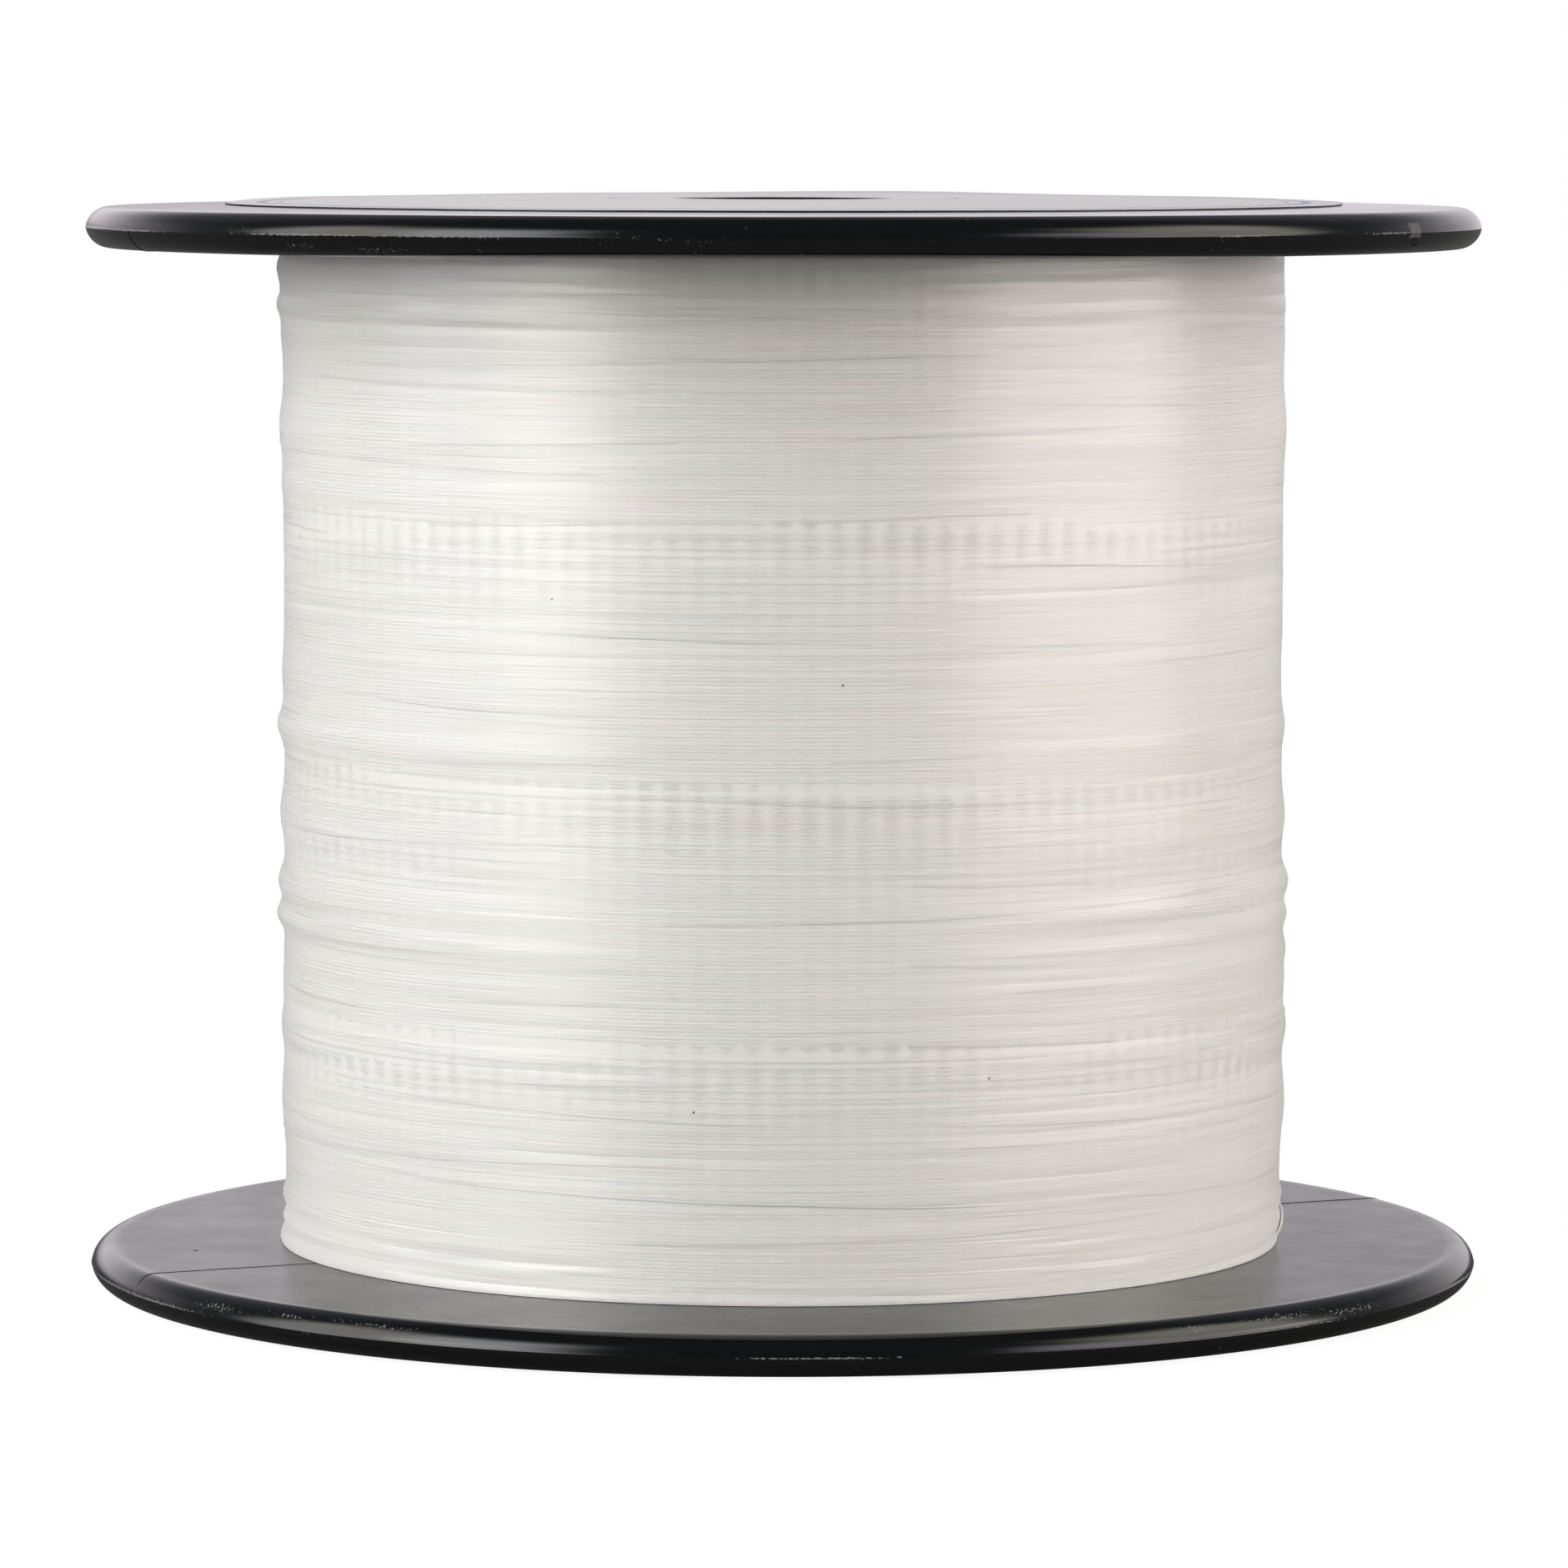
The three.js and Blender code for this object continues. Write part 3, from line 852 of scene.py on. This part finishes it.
# Labels. A round of coated paper glued to each end face, bare but for fine rings. The
# upper one has lifted a little along its edge, most of all at the back.
label_hole = 11.5 * MM
label_paper = 0.09 * MM
label_edge = 0.1 * MM
label_low, label_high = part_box("top_label")
label_radius = label_high.x
label_steps = 30
label_sides = 240
# Printed rings: radius and width, in millimetres
printed_rings = ((52.5, 0.9), (50.6, 0.25), (17.5, 0.5))

paper, tree, shader, place = plain_material("coated_paper")
grey_pulp = (0.66, 0.65, 0.655, 1)
pale_coat = (0.74, 0.735, 0.74, 1)
blue_ink = (0.2, 0.25, 0.36, 1)
shaded_edge_colour = (0.03, 0.035, 0.06, 1)
from_axis = measured(tree, "LENGTH", from_the_axis(tree, place))
fibres = noise(tree, place, scale=700.0, detail=5.0)
stock = mixed_colour(tree, fibres, grey_pulp, pale_coat)
printed = None
for ring_radius, ring_width in printed_rings:
    away = calc(tree, "ABSOLUTE", calc(tree, "SUBTRACT", from_axis, ring_radius * MM))
    ring = calc(tree, "LESS_THAN", away, ring_width / 2 * MM)
    printed = ring if printed is None else calc(tree, "MAXIMUM", printed, ring)
stock = mixed_colour(tree, printed, stock, blue_ink)
# Painted shade: the paper's cut edge, and a tenth of a millimetre in from it, are painted near black for
# the shade along the label's edge
painted_edge_shade = calc(tree, "GREATER_THAN", from_axis, label_radius - label_edge)
tree.links.new(mixed_colour(tree, painted_edge_shade, stock, shaded_edge_colour), shader.inputs["Base Color"])
least_paper_roughness = 0.3
fibre_roughness = 0.12
roughness = calc(tree, "ADD", calc(tree, "MULTIPLY", fibres, fibre_roughness), least_paper_roughness)
tree.links.new(roughness, shader.inputs["Roughness"])
tooth_depth = 0.006 * MM
tooth = node(tree, "ShaderNodeBump", {"Strength": 0.15, "Distance": tooth_depth, "Height": fibres})
tree.links.new(tooth.outputs[0], shader.inputs["Normal"])
# The lift at the upper label's edge, in millimetres: its most at the back, its least,
# and its ripples as height, waves round the edge and phase
back_lift = 0.45
least_lift = 0.01
lift_ripples = ((0.06, 5, 0.7), (0.04, 9, 2))
front_ripple = 0.1
lift_curve = 5


def label_lift(angle, share):
    """How far the paper has come up, by direction and by its share of the way to the edge."""
    behind = 0.5 + 0.5 * math.sin(angle)
    ripple = sum(height * math.sin(waves * angle + phase) for height, waves, phase in lift_ripples)
    edge = back_lift * behind ** 3 + ripple * (front_ripple + behind)
    return max(edge, least_lift) * share ** lift_curve * MM


for name, lifted in (("bottom_label", False), ("top_label", True)):
    label_low, label_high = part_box(name)
    paper_top = label_low.z + label_paper if lifted else label_high.z
    radii = [label_hole + (label_radius - label_hole) * i / label_steps for i in range(label_steps + 1)]
    outline = [(r, label_low.z) for r in radii]
    outline += [(r, paper_top) for r in reversed(radii)]
    label = turned("paper_" + name, outline, label_sides)
    if lifted:
        for point in label.data.vertices:
            radius = math.hypot(point.co.x, point.co.y)
            share = (radius - label_hole) / (label_radius - label_hole)
            point.co.z += crown(radius) + label_lift(math.atan2(point.co.y, point.co.x), share)
    label.data.shade_smooth()
    label.data.set_sharp_from_angle(angle=math.radians(40))
    label.data.materials.append(paper)
    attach(label, "root")
    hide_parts(name)


# Floor and light. A pale floor under a dim studio sky, with a large soft lamp at each
# side of the camera and a paler wall behind the spool.
floor_size = 6
floor_drop = 0.02 * MM
floor_tone = 0.2
floor_glow = 0.92
floor_mesh = bpy.data.meshes.new("floor")
half = floor_size / 2
corners = ((-half, -half), (half, -half), (half, half), (-half, half))
floor_mesh.from_pydata([(x, y, -floor_drop) for x, y in corners], [], [(0, 1, 2, 3)])
floor = link("floor", floor_mesh)
surface = bpy.data.materials.new("pale_floor")
surface.use_nodes = True
tree = surface.node_tree
tree.nodes.clear()
matt = node(tree, "ShaderNodeBsdfDiffuse", {"Color": (floor_tone, floor_tone, floor_tone, 1)}).outputs[0]
# To the camera the floor also glows, so that it shows white but for the shadow
seen = node(tree, "ShaderNodeLightPath").outputs["Is Camera Ray"]
glow = node(tree, "ShaderNodeEmission",
            {"Color": (1, 1, 1, 1), "Strength": calc(tree, "MULTIPLY", seen, floor_glow)}).outputs[0]
both = node(tree, "ShaderNodeAddShader", {0: matt, 1: glow}).outputs[0]
# From below, the floor is clear, so that the spool's underside can be seen
underneath = node(tree, "ShaderNodeNewGeometry").outputs["Backfacing"]
clear = node(tree, "ShaderNodeBsdfTransparent").outputs[0]
one_sided = node(tree, "ShaderNodeMixShader", {0: underneath, 1: both, 2: clear}).outputs[0]
node(tree, "ShaderNodeOutputMaterial", {"Surface": one_sided})
floor.data.materials.append(surface)

world = bpy.data.worlds.new("studio")
bpy.context.scene.world = world
world.use_nodes = True
tree = world.node_tree
tree.nodes.clear()
toward = split(tree, node(tree, "ShaderNodeTexCoord").outputs["Generated"])
azimuth = degrees_round(tree, toward)
elevation = calc(tree, "DEGREES", calc(tree, "ARCSINE", toward["Z"]))
from_front = calc(tree, "ABSOLUTE", azimuth)


def soft_light(colour, strength, *edges):
    """One light of the sky, bounded by soft edges of (angle, start, end) in degrees."""
    shape = strength
    for value, start, end in edges:
        edge = ramp(tree, value, start, end, interpolation_type="SMOOTHSTEP")
        shape = calc(tree, "MULTIPLY", shape, edge)
    return scaled(tree, colour, shape)


lights = [
    # The sky itself
    soft_light((0.76, 1, 0.989), 0.079),
    # Left lamp, brighter towards the front and lower down
    soft_light((0.968, 0.975, 1), 5.12, (azimuth, -74, -62), (azimuth, -30, -50),
               (elevation, 8, 24), (elevation, 54, 34)),
    soft_light((1, 0.941, 0.902), 8.75, (azimuth, -74, -62), (azimuth, -30, -50), (elevation, 24, 8)),
    soft_light((1, 0.974, 0.912), 3.05, (azimuth, -104, -92), (azimuth, -62, -74),
               (elevation, 8, 24), (elevation, 54, 34)),
    soft_light((0.918, 0.915, 1), 3.2, (azimuth, -104, -92), (azimuth, -62, -74), (elevation, 24, 8)),
    # Right lamp, whose upper part leans away
    soft_light((0.931, 0.888, 1), 3.24, (azimuth, 34, 52), (azimuth, 72, 60),
               (elevation, 6, 18), (elevation, 40, 20)),
    soft_light((1, 0.907, 0.841), 7.45, (azimuth, 34, 52), (azimuth, 72, 60), (elevation, 18, 6)),
    soft_light((1, 0.968, 0.94), 2.52, (azimuth, 60, 72), (azimuth, 106, 92),
               (elevation, 6, 18), (elevation, 40, 20)),
    soft_light((1, 0.919, 0.903), 6.6, (azimuth, 60, 72), (azimuth, 106, 92), (elevation, 18, 6)),
    soft_light((1, 0.965, 0.774), 2.92, (azimuth, 48, 74), (azimuth, 112, 94), (elevation, 20, 40),
               (elevation, 58, 42)),
    # Wall behind
    soft_light((1, 0.912, 0.966), 1.213, (azimuth, -100, -160), (elevation, -3, 8), (elevation, 30, 12)),
    soft_light((1, 0.916, 0.99), 0.941, (azimuth, 100, 160), (elevation, 30, 12)),
    soft_light((0.836, 0.804, 1), 0.212, (from_front, 100, 160), (elevation, 12, 30), (elevation, 65, 45)),
]
studio = lights[0]
for light in lights[1:]:
    studio = vector(tree, "ADD", studio, light)
# The camera sees plain white in place of the sky
seen = node(tree, "ShaderNodeLightPath").outputs["Is Camera Ray"]
sky_colour = mixed_colour(tree, seen, studio, (1, 1, 1, 1))
sky = node(tree, "ShaderNodeBackground", {"Color": sky_colour}).outputs[0]
node(tree, "ShaderNodeOutputWorld", {"Surface": sky})

bpy.context.scene.view_settings.view_transform = "Standard"
